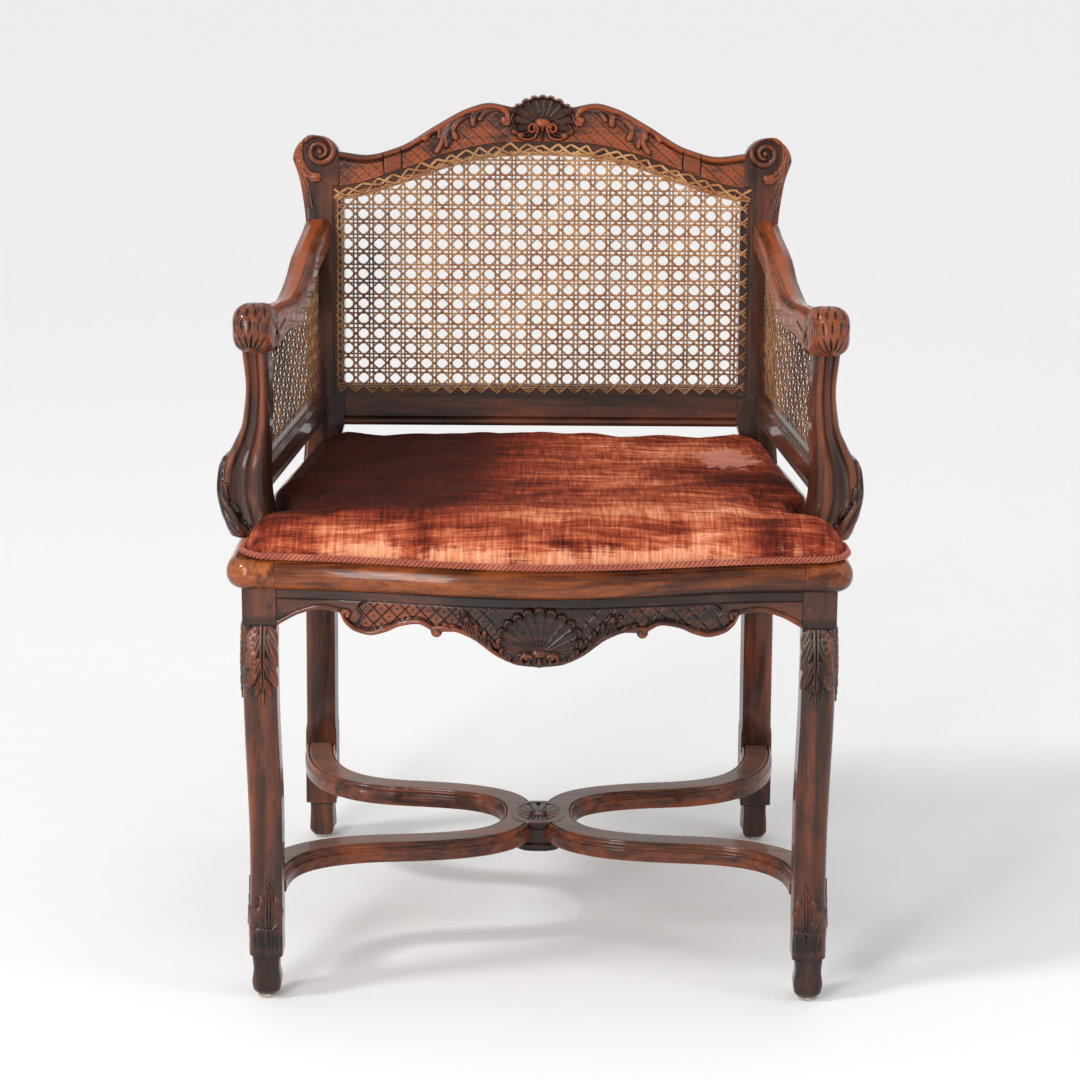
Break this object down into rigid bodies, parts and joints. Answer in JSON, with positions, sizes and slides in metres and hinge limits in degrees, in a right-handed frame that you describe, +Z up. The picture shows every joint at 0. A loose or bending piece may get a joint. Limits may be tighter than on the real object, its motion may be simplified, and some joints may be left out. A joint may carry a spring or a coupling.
{
  "type": "armchair",
  "caption": "Carved wooden desk armchair with caned back and sides, shell crest, serpentine crossed stretcher and a loose velvet squab cushion",
  "frame": {"origin": "on the floor, under the middle of the overall box", "axes": "+Z up, +Y to the back of the chair, +X to the right as seen from the front"},
  "size_m": [0.6532, 0.584, 0.8788],
  "materials": {
    "walnut": "dark waxed and worn",
    "seat_walnut": "polished, worn lighter",
    "cane": "aged split cane",
    "velvet": "worn pile velvet",
    "piping": "twisted cord",
    "glide": "scuffed"
  },
  "bodies": {
    "chair": {"apron_back": "walnut", "apron_front": "walnut", "apron_left": "walnut", "apron_right": "walnut", "arm_left": "walnut", "arm_post_left": "walnut", "arm_post_right": "walnut", "arm_right": "walnut", "back_lower_rail": "walnut", "back_stile_left": "walnut", "back_stile_right": "walnut", "cane_back": "cane", "cane_seat": "cane", "cane_side_left": "cane", "cane_side_right": "cane", "crest_rail": "walnut", "front_leg_left": "walnut", "front_leg_right": "walnut", "glide_back_left": "glide", "glide_back_right": "glide", "glide_front_left": "glide", "glide_front_right": "glide", "peg_crest_left": "walnut", "peg_crest_right": "walnut", "peg_front_apron_left": "walnut", "peg_front_apron_right": "walnut", "peg_lower_rail_left": "walnut", "peg_lower_rail_right": "walnut", "peg_side_apron_left": "walnut", "peg_side_apron_right": "walnut", "seat_rail_back": "walnut", "seat_rail_front": "seat_walnut", "seat_rail_left": "seat_walnut", "seat_rail_right": "seat_walnut", "side_lower_rail_left": "walnut", "side_lower_rail_right": "walnut", "stretcher_back_left": "walnut", "stretcher_back_right": "walnut", "stretcher_centre": "walnut", "stretcher_front_left": "walnut", "stretcher_front_right": "walnut"},
    "cushion": {"cushion": "velvet", "cushion_cord": "piping"}
  },
  "joints": [
    {"name": "cushion_lift", "type": "slide", "parent": "chair", "child": "cushion", "axis": [0, 0, 1], "range_m": [0, 0.12]}
  ]
}
